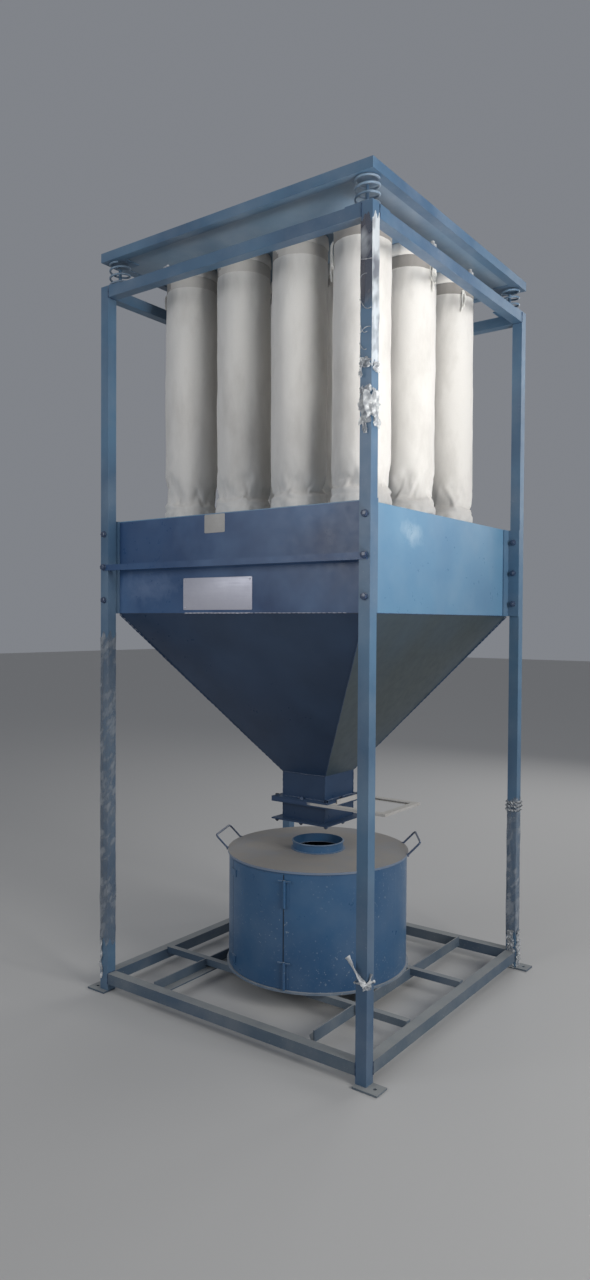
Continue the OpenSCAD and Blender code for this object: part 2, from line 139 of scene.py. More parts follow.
def object_coords(tree):
    return tree.nodes.new("ShaderNodeTexCoord").outputs["Object"]


def noise_of(tree, vector, scale, detail=4.0, rough=0.6):
    n = tree.nodes.new("ShaderNodeTexNoise")
    n.inputs["Scale"].default_value = scale
    n.inputs["Detail"].default_value = detail
    n.inputs["Roughness"].default_value = rough
    tree.links.new(vector, n.inputs["Vector"])
    return n.outputs["Fac"]


def stretched(tree, vector, scale, turn=(0.0, 0.0, 0.0)):
    """Coordinates turned first and then divided by the size of the pattern along each axis."""
    n = tree.nodes.new("ShaderNodeMapping")
    n.vector_type = "TEXTURE"
    n.inputs["Rotation"].default_value = turn
    n.inputs["Scale"].default_value = scale
    tree.links.new(vector, n.inputs["Vector"])
    return n.outputs["Vector"]


def ramp(tree, value, start, end, out_start=0.0, out_end=1.0):
    n = tree.nodes.new("ShaderNodeMapRange")
    for label, v in (("From Min", start), ("From Max", end), ("To Min", out_start), ("To Max", out_end)):
        n.inputs[label].default_value = v
    tree.links.new(value, n.inputs["Value"])
    return n.outputs["Result"]


def calc(tree, operation, a, b):
    n = tree.nodes.new("ShaderNodeMath")
    n.operation = operation
    for socket, v in zip(n.inputs, (a, b)):
        if isinstance(v, (int, float)):
            socket.default_value = v
        else:
            tree.links.new(v, socket)
    return n.outputs[0]


def mul(tree, a, b):
    return calc(tree, "MULTIPLY", a, b)


def add(tree, a, b):
    return calc(tree, "ADD", a, b)


def blend(tree, fac, a, b):
    n = tree.nodes.new("ShaderNodeMix")
    n.data_type = "RGBA"
    for socket, v in ((n.inputs[0], fac), (n.inputs[6], a), (n.inputs[7], b)):
        if isinstance(v, (int, float)):
            socket.default_value = v
        elif isinstance(v, tuple):
            socket.default_value = (*v, 1.0)
        else:
            tree.links.new(v, socket)
    return n.outputs[2]


def axis_of(tree, vector, axis):
    n = tree.nodes.new("ShaderNodeSeparateXYZ")
    tree.links.new(vector, n.inputs[0])
    return n.outputs[axis]


def worn_paint():
    """Paint with clouds of tone, fine pale specks, pale haze that is partly dust and partly painted
    reflection, and dust that settles on level faces.
    """
    tree, given, out = new_group("worn_paint", {
        "Paint": (0.1, 0.2, 0.35), "Cloud": (0.06, 0.13, 0.26), "Dust": (0.5, 0.47, 0.43),
        "Dust level": 0.5, "Specks": 0.3, "Haze": 0.1, "Haze scale": 6.0, "Rough": 0.35})
    coords = tree.nodes.new("ShaderNodeTexCoord")
    place = coords.outputs["Object"]
    cloud = ramp(tree, noise_of(tree, place, 2.1, 3.0, 0.5), 0.36, 0.64)
    color = blend(tree, cloud, given["Paint"], given["Cloud"])
    # Haze: soft pale patches towards the dust colour, partly dust and partly painted reflection
    drift = noise_of(tree, place, 6.0, 4.0, 0.55)
    tree.links.new(given["Haze scale"], drift.node.inputs["Scale"])
    haze = ramp(tree, drift, 0.42, 0.72)
    color = blend(tree, mul(tree, haze, given["Haze"]), color, given["Dust"])
    speck = ramp(tree, noise_of(tree, place, 105.0, 2.0, 0.5), 0.64, 0.72)
    where = ramp(tree, noise_of(tree, place, 5.0, 4.0, 0.6), 0.42, 0.62)
    speck = mul(tree, mul(tree, speck, where), given["Specks"])
    color = blend(tree, speck, color, given["Dust"])
    level = ramp(tree, axis_of(tree, coords.outputs["Normal"], "Z"), 0.3, 0.9)
    thick = ramp(tree, noise_of(tree, place, 8.0, 5.0, 0.6), 0.22, 0.55, 0.62, 1.0)
    dust = mul(tree, mul(tree, level, thick), given["Dust level"])
    color = blend(tree, dust, color, given["Dust"])
    grime = ramp(tree, noise_of(tree, place, 32.0, 4.0), 0.3, 0.7, -0.04, 0.07)
    rough = add(tree, given["Rough"], grime)
    rough = add(tree, rough, mul(tree, haze, 0.08))
    peel = mul(tree, noise_of(tree, place, 55.0, 1.0), 0.5)
    grains = mul(tree, dust, noise_of(tree, place, 70.0, 5.0))
    tree.links.new(color, out["Color"])
    tree.links.new(add(tree, rough, mul(tree, dust, 0.45)), out["Roughness"])
    tree.links.new(add(tree, peel, grains), out["Height"])
    return tree


def worn_metal():
    """Bare metal with dull patches, fine grain along one axis and dust on level faces."""
    tree, given, out = new_group("worn_metal", {
        "Metal": (0.5, 0.5, 0.5), "Stain": (0.3, 0.27, 0.24), "Dust": (0.5, 0.47, 0.43),
        "Stain level": 0.5, "Dust level": 0.3, "Rough": 0.4})
    coords = tree.nodes.new("ShaderNodeTexCoord")
    place = coords.outputs["Object"]
    stain = ramp(tree, noise_of(tree, place, 13.0, 6.0, 0.7), 0.40, 0.68)
    stain = mul(tree, stain, given["Stain level"])
    color = blend(tree, stain, given["Metal"], given["Stain"])
    grain = noise_of(tree, stretched(tree, place, (0.12, 0.003, 0.003)), 1.0, 3.0)
    color = blend(tree, ramp(tree, grain, 0.4, 0.75, 0.0, 0.22), color, given["Stain"])
    level = ramp(tree, axis_of(tree, coords.outputs["Normal"], "Z"), 0.3, 0.9)
    thick = ramp(tree, noise_of(tree, place, 11.0, 5.0, 0.65), 0.3, 0.6, 0.5, 1.0)
    dust = mul(tree, mul(tree, level, thick), given["Dust level"])
    color = blend(tree, dust, color, given["Dust"])
    rough = add(tree, given["Rough"], ramp(tree, grain, 0.3, 0.7, -0.07, 0.1))
    rough = add(tree, rough, mul(tree, add(tree, stain, dust), 0.25))
    tree.links.new(color, out["Color"])
    tree.links.new(rough, out["Roughness"])
    tree.links.new(add(tree, grain, mul(tree, dust, 0.5)), out["Height"])
    return tree


def needle_felt():
    """Matted fibres with grey dust that clings in soft patches and runs down the cloth."""
    tree, given, out = new_group("needle_felt", {
        "Cloth": (0.7, 0.67, 0.62), "Stain": (0.4, 0.37, 0.34), "Stain level": 0.4, "Rough": 0.9})
    place = object_coords(tree)
    patch = noise_of(tree, stretched(tree, place, (0.09, 0.09, 0.24)), 1.0, 5.0, 0.6)
    stain = mul(tree, ramp(tree, patch, 0.46, 0.74), given["Stain level"])
    color = blend(tree, stain, given["Cloth"], given["Stain"])
    fibre = noise_of(tree, place, 430.0, 4.0, 0.7)
    color = blend(tree, ramp(tree, fibre, 0.4, 0.75, 0.0, 0.12), color, given["Stain"])
    felt = noise_of(tree, place, 90.0, 3.0, 0.6)
    tree.links.new(color, out["Color"])
    tree.links.new(add(tree, given["Rough"], ramp(tree, fibre, 0.3, 0.7, -0.06, 0.04)), out["Roughness"])
    tree.links.new(add(tree, fibre, mul(tree, felt, 0.6)), out["Height"])
    return tree


PAINT = worn_paint()
METAL = worn_metal()
FELT = needle_felt()


def new_surface(name):
    """A new material with its node tree and its shader."""
    mat = bpy.data.materials.new(name)
    mat.use_nodes = True
    return mat, mat.node_tree, mat.node_tree.nodes["Principled BSDF"]


def add_relief(tree, surface, height, strength, depth):
    relief = tree.nodes.new("ShaderNodeBump")
    relief.inputs["Strength"].default_value = strength
    relief.inputs["Distance"].default_value = depth
    tree.links.new(height, relief.inputs["Height"])
    tree.links.new(relief.outputs["Normal"], surface.inputs["Normal"])


def material(name, effect, values, bump=0.15, depth=0.001, metallic=0.0, **shader):
    """A surface whose colour, roughness and height come from an effect. Its colours are sRGB, 0 to 255."""
    mat, tree, surface = new_surface(name)
    group = tree.nodes.new("ShaderNodeGroup")
    group.node_tree = effect
    for label, v in values.items():
        group.inputs[label].default_value = (*srgb(*v), 1.0) if isinstance(v, tuple) else v
    tree.links.new(group.outputs["Color"], surface.inputs["Base Color"])
    tree.links.new(group.outputs["Roughness"], surface.inputs["Roughness"])
    add_relief(tree, surface, group.outputs["Height"], bump, depth)
    surface.inputs["Metallic"].default_value = metallic
    for label, v in shader.items():
        surface.inputs[label.replace("_", " ")].default_value = v
    return mat


def painted(name, paint, cloud, dust, level, specks, haze, rough, bump, haze_scale=6.0, **shader):
    """A worn paint with its cloud and dust colours. Level is how thick the dust lies on level faces."""
    values = {"Paint": paint, "Cloud": cloud, "Dust": dust, "Dust level": level, "Specks": specks,
              "Haze": haze, "Haze scale": haze_scale, "Rough": rough}
    return material(name, PAINT, values, bump=bump, **shader)


BEIGE_DUST = (176, 168, 158)
POST_PAINT = painted(
    "post_paint", (90, 124, 152), (68, 96, 124), (164, 172, 180),
    level=0.35, specks=0.2, haze=0.2, haze_scale=5.0, rough=0.34, bump=0.06)
# The tray's plate, seen from below: its strong pale haze is partly painted reflection
TRAY_PAINT = painted(
    "tray_paint", (122, 146, 166), (84, 114, 142), (170, 176, 182),
    level=0.35, specks=0.2, haze=0.5, haze_scale=2.2, rough=0.4, bump=0.06)
BOX_PAINT = painted(
    "box_paint", (106, 148, 178), (96, 136, 168), (172, 186, 196),
    level=0.5, specks=0.0, haze=0.25, haze_scale=2.8, rough=0.3, bump=0.03)
# The box's front and its strap: the box's blue painted darker as shade, since the front faces away from the
# key lamp; its pale bluish haze is painted reflection
SHADED_FRONT_PAINT = painted(
    "box_front_painted_shade", (58, 92, 134), (42, 70, 110), (112, 146, 186),
    level=0.5, specks=0.0, haze=0.5, haze_scale=2.6, rough=0.30, bump=0.03)
# The hopper and its necks: the box's blue painted much darker as shade, for the downward faces under the
# box; the weld beads take it too
SHADED_HOPPER_PAINT = painted(
    "hopper_painted_shade", (38, 62, 92), (30, 50, 76), (76, 102, 134),
    level=0.3, specks=0.0, haze=0.3, haze_scale=2.4, rough=0.3, bump=0.04)
# The hopper's right face: painted dark grey-green shade, as it slopes down away from the light
SHADED_HOPPER_SIDE = painted(
    "hopper_side_painted_shade", (48, 68, 82), (44, 58, 62), (76, 86, 88),
    level=0.3, specks=0.0, haze=0.25, haze_scale=2.2, rough=0.34, bump=0.04)
DRUM_PAINT = painted(
    "drum_paint", (60, 102, 140), (50, 88, 126), (158, 170, 180),
    level=0.6, specks=0.6, haze=0.1, rough=0.3, bump=0.08)
CHIME_PAINT = painted(
    "chime_paint", (120, 138, 156), (84, 108, 132), (170, 172, 172),
    level=0.8, specks=0.8, haze=0.6, rough=0.45, bump=0.15)
LID_PAINT = painted(
    "lid_paint", (122, 138, 160), (104, 124, 148), (160, 154, 146),
    level=0.92, specks=0.3, haze=0.3, rough=0.4, bump=0.2)
# The rails: their dust is pale and thick so that their tops come out lighter, partly dust and partly
# painted light from above
RAIL_PAINT = painted(
    "rail_paint", (76, 96, 116), (84, 100, 114), (160, 162, 160),
    level=0.85, specks=0.5, haze=0.3, rough=0.42, bump=0.15)
SPRING_PAINT = painted(
    "spring_paint", (110, 140, 164), (88, 112, 136), (170, 176, 182),
    level=0.4, specks=0.4, haze=0.3, rough=0.35, bump=0.08)
DARK_PAINT = painted(
    "dark_paint", (58, 76, 104), (48, 64, 92), (130, 140, 152),
    level=0.15, specks=0.3, haze=0.15, rough=0.24, bump=0.05, Coat_Weight=0.4)
RUBBER = painted(
    "door_rubber", (34, 40, 54), (28, 34, 46), (96, 98, 104),
    level=0.3, specks=0.0, haze=0.1, rough=0.6, bump=0.05)
ZINC = material("galvanised", METAL, {
    "Metal": (208, 210, 212), "Stain": (168, 168, 168), "Dust": BEIGE_DUST,
    "Stain level": 0.4, "Dust level": 0.3, "Rough": 0.35}, metallic=0.5)
PLATE = material("bare_plate", METAL, {
    "Metal": (202, 202, 212), "Stain": (176, 176, 192), "Dust": BEIGE_DUST,
    "Stain level": 0.3, "Dust level": 0.2, "Rough": 0.38}, bump=0.05, metallic=0.25)
LABEL = material("bare_label", METAL, {
    "Metal": (186, 184, 180), "Stain": (164, 160, 156), "Dust": BEIGE_DUST,
    "Stain level": 0.5, "Dust level": 0.2, "Rough": 0.6}, bump=0.05)
CLOTH = material("bag_felt", FELT, {
    "Cloth": (224, 221, 216), "Stain": (180, 175, 168), "Stain level": 0.45, "Rough": 0.92},
    bump=0.3, depth=0.0012, Sheen_Weight=0.15)
BAND = material("bag_band", FELT, {
    "Cloth": (150, 146, 141), "Stain": (120, 116, 112), "Stain level": 0.5, "Rough": 0.9},
    bump=0.4, depth=0.0012, Sheen_Weight=0.15)
PALE_BAND = material("pale_band", FELT, {
    "Cloth": (200, 196, 190), "Stain": (168, 162, 155), "Stain level": 0.5, "Rough": 0.9},
    bump=0.4, depth=0.0012, Sheen_Weight=0.15)
STRING = material("tie_string", FELT, {
    "Cloth": (232, 230, 224), "Stain": (190, 184, 176), "Stain level": 0.4, "Rough": 0.95},
    bump=0.5)


def gate_dark_under_neck():
    """The gate's guide: dark blue where the neck covers it, up to a ragged edge at x of about 0.05 to
    0.075, and bare, dusty metal where the blade slides out.
    """
    mat = material("gate_dark_under_neck", METAL, {
        "Metal": (196, 194, 190), "Stain": (158, 154, 148), "Dust": (206, 202, 194),
        "Stain level": 0.5, "Dust level": 0.8, "Rough": 0.5}, metallic=0.2)
    tree = mat.node_tree
    surface = tree.nodes["Principled BSDF"]
    bare = surface.inputs["Base Color"].links[0].from_socket
    place = object_coords(tree)
    ragged_x = add(tree, axis_of(tree, place, "X"), mul(tree, noise_of(tree, place, 30.0), 0.04))
    color = blend(tree, ramp(tree, ragged_x, 0.05, 0.075), srgb(50, 72, 104), bare)
    tree.links.new(color, surface.inputs["Base Color"])
    return mat


def rub_and_sheen_mark(name, source, centre, size, tint):
    """A copy of a paint with one soft pale mark: a chalky rub on the box's side, a painted reflection on
    its front.
    """
    mat = source.copy()
    mat.name = name
    tree = mat.node_tree
    surface = tree.nodes["Principled BSDF"]
    paint = surface.inputs["Base Color"].links[0].from_socket
    place = object_coords(tree)
    spot = tree.nodes.new("ShaderNodeMapping")
    spot.vector_type = "TEXTURE"
    spot.inputs["Location"].default_value = centre
    spot.inputs["Scale"].default_value = size
    tree.links.new(place, spot.inputs["Vector"])
    away = tree.nodes.new("ShaderNodeVectorMath")
    away.operation = "LENGTH"
    tree.links.new(spot.outputs["Vector"], away.inputs[0])
    ragged = add(tree, away.outputs["Value"], mul(tree, noise_of(tree, place, 26.0, 4.0), 1.6))
    color = blend(tree, ramp(tree, ragged, 0.75, 1.7, 0.6, 0.0), paint, tint)
    tree.links.new(color, surface.inputs["Base Color"])
    return mat


def wrap_film(name, streak_size, clear, milky, dull, bright, torn_off=None):
    """Thin torn wrapping film: hazy between slanted creases, milky along them. Below the height
    torn_off, only the side that faces +X still has its film."""
    mat, tree, surface = new_surface(name)
    place = object_coords(tree)
    streaks = noise_of(tree, stretched(tree, place, streak_size, (0.0, -0.75, 0.785)), 1.0, 2.5, 0.5)
    cloud = noise_of(tree, place, 7.0, 2.0, 0.5)
    milkiness = add(tree, ramp(tree, streaks, 0.42, 0.72), ramp(tree, cloud, 0.35, 0.65, -0.3, 0.3))
    if torn_off:
        normal = tree.nodes.new("ShaderNodeTexCoord").outputs["Normal"]
        to_right = ramp(tree, axis_of(tree, normal, "X"), 0.3, 0.7)
        high_up = ramp(tree, axis_of(tree, place, "Z"), torn_off, torn_off + 0.05)
        # The side that faces +X, towards the key lamp, is made milkier and brighter and the others clearer
        # and duller: the brighter tint there is painted light
        milkiness = add(tree, milkiness, ramp(tree, to_right, 0.0, 1.0, -0.45, 0.35))
    alpha = ramp(tree, milkiness, 0.0, 1.0, clear, milky)
    if torn_off:
        alpha = mul(tree, alpha, calc(tree, "MAXIMUM", to_right, high_up))
    tree.links.new(alpha, surface.inputs["Alpha"])
    tint = blend(tree, ramp(tree, milkiness, 0.1, 0.9), dull, bright)
    tree.links.new(tint, surface.inputs["Base Color"])
    surface.inputs["Roughness"].default_value = 0.28
    add_relief(tree, surface, streaks, 0.5, 0.0015)
    return mat


FILM = wrap_film("wrap_film", (0.16, 0.022, 0.022), 0.36, 0.58, srgb(132, 142, 154), srgb(172, 178, 184))
THICK_FILM = wrap_film("thick_film", (0.30, 0.050, 0.050), 0.62, 0.90, srgb(96, 96, 106),
                       srgb(208, 214, 218), torn_off=2.36)
SHRED = wrap_film("film_shreds", (0.05, 0.016, 0.016), 0.72, 0.98, srgb(170, 174, 178), srgb(226, 228, 228))


def dress(mat, *nodes):
    """Gives CAD nodes a material, in all their slots."""
    for name in nodes:
        part = NODES[name]
        if not part.material_slots:
            part.data.materials.append(mat)
        for slot in part.material_slots:
            slot.material = mat


dress(POST_PAINT, "post_front_left", "post_front_right", "post_back_left", "post_back_right", "top_rails",
      "tray_rim", "spring_seats", "inlet_spigot", "corner_angles")
dress(TRAY_PAINT, "tray_plate")
dress(rub_and_sheen_mark("box_side_paint", BOX_PAINT, (BOX_HALF, -0.24, 1.72), (0.1, 0.10, 0.055),
                   srgb(178, 198, 210)), "box_right")
dress(BOX_PAINT, "box_back", "box_left", "bag_plate_1", "bag_plate_2", "bag_plate_3", "bag_plate_4")
# A soft pale painted reflection on the box's front
dress(rub_and_sheen_mark("box_front_painted_reflection", SHADED_FRONT_PAINT, (-0.40, -BOX_HALF, 1.545), (0.20, 0.1, 0.075),
                   srgb(112, 134, 168)), "box_front")
dress(SHADED_FRONT_PAINT, "front_strap")
dress(SHADED_HOPPER_PAINT, "hopper_front", "hopper_back", "hopper_left", "hopper_neck", "outlet_neck")
dress(SHADED_HOPPER_SIDE, "hopper_right")
dress(DRUM_PAINT, "drum_shell", "drum_collar", "drum_door", "drum_hinges")
dress(CHIME_PAINT, "drum_base")
dress(LID_PAINT, "drum_lid")
dress(RAIL_PAINT, "base_rails", "angle_rails", "cross_bars", "foot_plates")
dress(gate_dark_under_neck(), "gate_frame", "gate_blade")
dress(ZINC, "bag_collars")


# Mesh helpers
def facing(axis, at):
    """A matrix that turns +Z to an axis and moves to a point."""
    return Matrix.Translation(at) @ Vector(axis).to_track_quat("Z", "Y").to_matrix().to_4x4()


def join_shape(piece, shape, place=None):
    """Closes one shape, puts it in its place and adds it to a piece that is made of several."""
    bmesh.ops.remove_doubles(shape, verts=shape.verts, dist=0.00001)
    bmesh.ops.recalc_face_normals(shape, faces=shape.faces)
    if place is not None:
        bmesh.ops.transform(shape, matrix=place, verts=shape.verts)
    mesh = bpy.data.meshes.new("shape")
    shape.to_mesh(mesh)
    shape.free()
    piece.from_mesh(mesh)
    bpy.data.meshes.remove(mesh)


def finish_piece(piece, name, mats, body, angle=0.6):
    """Makes the object, smooth up to an angle, and lets it ride on its body."""
    mesh = bpy.data.meshes.new(name)
    piece.to_mesh(mesh)
    piece.free()
    for mat in mats:
        mesh.materials.append(mat)
    for face in mesh.polygons:
        face.use_smooth = True
    mesh.set_sharp_from_angle(angle=angle)
    obj = bpy.data.objects.new(name, mesh)
    bpy.context.scene.collection.objects.link(obj)
    if body:
        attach(obj, body)
    return obj


def turned(profile, segments, ends=True):
    """A turned shape: a line of radius and height points, spun once about Z."""
    shape = bmesh.new()
    verts = [shape.verts.new((r, 0.0, z)) for r, z in profile]
    for pair in zip(verts, verts[1:]):
        shape.edges.new(pair)
    spin_round(shape, segments)
    if ends:
        bmesh.ops.holes_fill(shape, edges=[e for e in shape.edges if e.is_boundary], sides=0)
    return shape


def spin_round(shape, segments):
    bmesh.ops.spin(shape, geom=shape.verts[:] + shape.edges[:], cent=(0, 0, 0), axis=(0, 0, 1),
                   dvec=(0, 0, 0), angle=math.tau, steps=segments, use_merge=True,
                   use_normal_flip=False, use_duplicate=False)
    bmesh.ops.remove_doubles(shape, verts=shape.verts, dist=0.000001)


def block(sides, radius, height, chamfer):
    """A round or hexagonal block that stands on z = 0, with its upper edge rounded."""
    shape = bmesh.new()
    bmesh.ops.create_cone(shape, cap_ends=True, segments=sides, radius1=radius, radius2=radius,
                          depth=height)
    bmesh.ops.translate(shape, vec=(0, 0, height / 2), verts=shape.verts)
    rim = [e for e in shape.edges if min(v.co.z for v in e.verts) > height * 0.99]
    bmesh.ops.bevel(shape, geom=rim, offset=chamfer, affect="EDGES", segments=2, profile=0.5, material=-1)
    return shape


def tube(points, radius, segments=8, flat=1.0, twist=0.0):
    """A round or flattened rod: a ring is extruded from point to point, and both ends are closed."""
    points = [Vector(p) for p in points]
    last = len(points) - 1
    radii = list(radius) if hasattr(radius, "__len__") else [radius] * (last + 1)
    shape = bmesh.new()
    bmesh.ops.create_circle(shape, cap_ends=True, segments=segments, radius=1.0)
    ring = shape.edges[:]
    verts = shape.verts[:]
    across = None
    before = Matrix.Identity(4)
    for i, point in enumerate(points):
        along = (points[min(i + 1, last)] - points[max(i - 1, 0)]).normalized()
        if across is None:
            across = along.orthogonal()
        across = (across - along * across.dot(along)).normalized()
        turn = Matrix((across, along.cross(across), along)).transposed().to_4x4()
        size = Matrix.Diagonal((radii[i], radii[i] * flat, 1.0, 1.0))
        here = Matrix.Translation(point) @ turn @ Matrix.Rotation(twist * i, 4, "Z") @ size
        if i:
            made = bmesh.ops.extrude_edge_only(shape, edges=ring)["geom"]
            verts = [g for g in made if isinstance(g, bmesh.types.BMVert)]
            ring = [g for g in made if isinstance(g, bmesh.types.BMEdge)]
        bmesh.ops.transform(shape, matrix=here @ before.inverted(), verts=verts)
        before = here
    bmesh.ops.edgeloop_fill(shape, edges=ring)
    return shape


def hexagon(flats, height, chamfer):
    """A six-sided head or nut, by its width across the flats."""
    return block(6, flats / math.sqrt(3), height, chamfer)


def bolt(piece, at, axis, flats=0.019, height=0.0085, wash=0.012, turn=0.0, tail=0.0):
    """A washer, a hexagon and, with a tail, the end of the thread."""
    wash_t = 0.002
    axis = Vector(axis).normalized()
    at = Vector(at)
    spin = Matrix.Rotation(turn, 4, "Z")
    join_shape(piece, block(24, wash, wash_t, 0.0005), facing(axis, at))
    join_shape(piece, hexagon(flats, height, height * 0.14), facing(axis, at + axis * wash_t) @ spin)
    if tail:
        join_shape(piece, thread(flats * 0.3, tail), facing(axis, at + axis * (height * 0.9)))


def thread(radius, length):
    """The ridged end of a bolt."""
    pitch = 0.0015
    rows = [(0.0, 0.0), (radius, 0.0)]
    for i in range(max(1, int(length / pitch))):
        rows += [(radius * 0.88, (i + 0.5) * pitch), (radius, (i + 1) * pitch)]
    top = rows[-1][1] + 0.001
    return turned(rows + [(radius * 0.75, top), (0.0, top)], 12, ends=False)


def wobble(x, y, z, scale, seed=0.0):
    return noise.noise(Vector((x * scale + seed, y * scale - seed, z * scale + 2.3 * seed)))


# Filter bags: the heights of the tie band and of the hem's upper edge, and the mesh's rows and segments
BAND_LOW = 2.692
BAND_TOP = 2.732
HEM_TOP = BAG_LOW + 0.034
BAG_ROW = 0.011
BAG_SEGMENTS = 72

# How far up the collar may stand inside the hem as the tray goes down, and the radius that keeps the
# cloth clear of it
COLLAR_REACH = 0.045
COLLAR_CLEAR = 0.0982


def bag_profile():
    """Rows of height, radius and freedom of the cloth, from the hem's inner edge to the one at the tray."""
    hem = [(0.028, 0.0972, 0.0), (0.004, 0.0974, 0.0), (0.0004, 0.0990, 0.1), (0.0008, 0.1014, 0.3),
           (0.0045, 0.1034, 0.5), (0.0110, 0.1042, 0.6), (0.0180, 0.1042, 0.6), (0.0240, 0.1034, 0.5),
           (0.0290, 0.1014, 0.35), (0.0330, 0.0990, 0.2), (0.0380, 0.0984, 0.3), (0.0450, 0.0996, 0.6),
           (0.0550, 0.1002, 0.9)]
    rows = [(BAG_LOW + h, r, free) for h, r, free in hem]
    z = BAG_LOW + 0.066
    while z < BAND_LOW - 0.022:
        rows.append((z, BAG_R, 1.0))
        z += BAG_ROW
    band = [(-0.014, 0.0978, 0.8), (-0.006, 0.0974, 0.5), (-0.001, 0.0970, 0.3), (0.0, 0.0985, 0.25),
            (0.003, 0.0992, 0.25), (0.012, 0.0988, 0.25), (0.020, 0.0990, 0.25), (0.028, 0.0988, 0.25)]
    rows += [(BAND_LOW + h, r, free) for h, r, free in band]
    neck = [(-0.003, 0.0992, 0.25), (0.0, 0.0985, 0.25), (0.001, 0.0968, 0.3), (0.006, 0.0986, 0.6),
            (0.014, 0.1002, 0.7), (0.023, 0.1000, 0.6)]
    rows += [(BAND_TOP + h, r, free) for h, r, free in neck]
    rows += [(BAG_TOP - 0.004, 0.0985, 0.3), (BAG_TOP, 0.0955, 0.0), (BAG_TOP, 0.0880, 0.0)]
    return rows


def near_collar(z, loose):
    return loose > 0.05 and z < BAG_LOW + COLLAR_REACH


def crease_of(phase):
    """A narrow fold: sharp along its line and soft between lines."""
    return max(0.0, math.sin(phase)) ** 5


def cloth_move(a, z, seed):
    """How far the cloth stands out: slanted folds over the hem, gathers at the band, dents between."""
    up = (z - HEM_TOP) / (BAND_LOW - HEM_TOP)
    c, s = math.cos(a), math.sin(a)
    drift = wobble(c, s, z * 2.0, 1.1, seed + 11)
    low_end = math.exp(-max(0.0, z - HEM_TOP) / 0.075)
    high_end = math.exp(-max(0.0, BAND_LOW - z) / 0.05)
    move = 0.0050 * wobble(c, s, z * 1.5, 1.2, seed) + 0.0030 * wobble(c, s, z * 3.2, 2.2, seed + 7)
    move += 0.0012 * wobble(c, s, z * 4.0, 5.0, seed + 3)
    move -= 0.0075 * low_end * crease_of(6 * a + 26 * (z - BAG_LOW) + 4.0 * drift + seed)
    move -= 0.0050 * low_end * crease_of(9 * a - 34 * (z - BAG_LOW) + 3.0 * drift + 2.3 * seed)
    move -= 0.0045 * high_end * crease_of(8 * a + 20 * (BAND_LOW - z) + 3.0 * drift + 1.7 * seed)
    long_fold = crease_of(2 * a + 7.0 * up + seed * 2.1 + 2.5 * drift)
    move -= 0.0030 * long_fold * (0.3 + 0.7 * abs(wobble(c, s, z * 3, 1.0, seed + 5)))
    return move


def bag_mesh(col, row):
    """One bag: a grid is rolled round the profile, and then the cloth is moved in and out along its
    radius. A grid keeps its order from run to run and spin doesn't, and the cloth settles by that order."""
    seed = 3.7 * col + 11.3 * row + 1.9
    profile = bag_profile()
    last = len(profile) - 1
    shape = bmesh.new()
    free = shape.verts.layers.float.new("free")
    bmesh.ops.create_grid(shape, x_segments=BAG_SEGMENTS, y_segments=last, size=1.0)
    for vert in shape.verts:
        z, r, vert[free] = profile[round((vert.co.y + 1) / 2 * last)]
        a = math.pi * (vert.co.x + 1)
        vert.co = (r * math.cos(a), r * math.sin(a), z)
    bmesh.ops.remove_doubles(shape, verts=shape.verts, dist=0.000001)
    for vert in shape.verts:
        r = math.hypot(vert.co.x, vert.co.y)
        a = math.atan2(vert.co.y, vert.co.x)
        up = (vert.co.z - BAG_LOW) / (BAG_TOP - BAG_LOW)
        grow = 1 + vert[free] * cloth_move(a, vert.co.z, seed) / r
        if near_collar(vert.co.z, vert[free]):
            grow = max(grow, COLLAR_CLEAR / r)
        sway = 0.005 * math.sin(math.pi * up)
        vert.co.x = vert.co.x * grow + sway * math.sin(seed * 1.7) * vert[free]
        vert.co.y = vert.co.y * grow + sway * math.cos(seed * 2.3) * vert[free]
        if vert[free] > 0.2 and 0.02 < up < 0.9:
            vert.co.z += 0.003 * vert[free] * wobble(math.cos(a), math.sin(a), vert.co.z, 2.5, seed + 9)
    bmesh.ops.translate(shape, vec=(BAG_X[col], BAG_Y[row], 0.0), verts=shape.verts)
    return shape, free


def dark_side(col, a):
    """Where the tie band is dark: round the bags on the gate's side, in a short patch on the others."""
    return -152 < a < 112 if col == 3 else -152 < a < -112


def bag_piece(col, row):
    shape, free = bag_mesh(col, row)
    bmesh.ops.recalc_face_normals(shape, faces=shape.faces)
    seed = 3.7 * col + 11.3 * row
    for face in shape.faces:
        middle = face.calc_center_median()
        a = math.degrees(math.atan2(middle.y - BAG_Y[row], middle.x - BAG_X[col]))
        if BAND_LOW - 0.0006 < middle.z < BAND_TOP + 0.0006:
            face.material_index = 1 if dark_side(col, a + 9 * math.sin(seed + middle.z * 90)) else 2
    shape.verts.index_update()
    pins = {vert.index: vert[free] for vert in shape.verts}
    name = "bag_%d_%d" % (col + 1, row + 1)
    bag = finish_piece(shape, name, [CLOTH, BAND, PALE_BAND], "shaker", 1.3)
    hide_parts("filter_bags_%d" % (col + 1))
    return bag, pins


# Strings that the photograph shows, by column and row: angle in degrees, length and height of the knot
TIES = {(3, 1): (-2, 0.110, 2.722), (3, 2): (-30, 0.080, 2.700), (3, 0): (-138, 0.125, 2.695),
        (0, 0): (-140, 0.045, 2.684), (2, 1): (40, 0.06, 2.69), (1, 2): (25, 0.05, 2.69)}


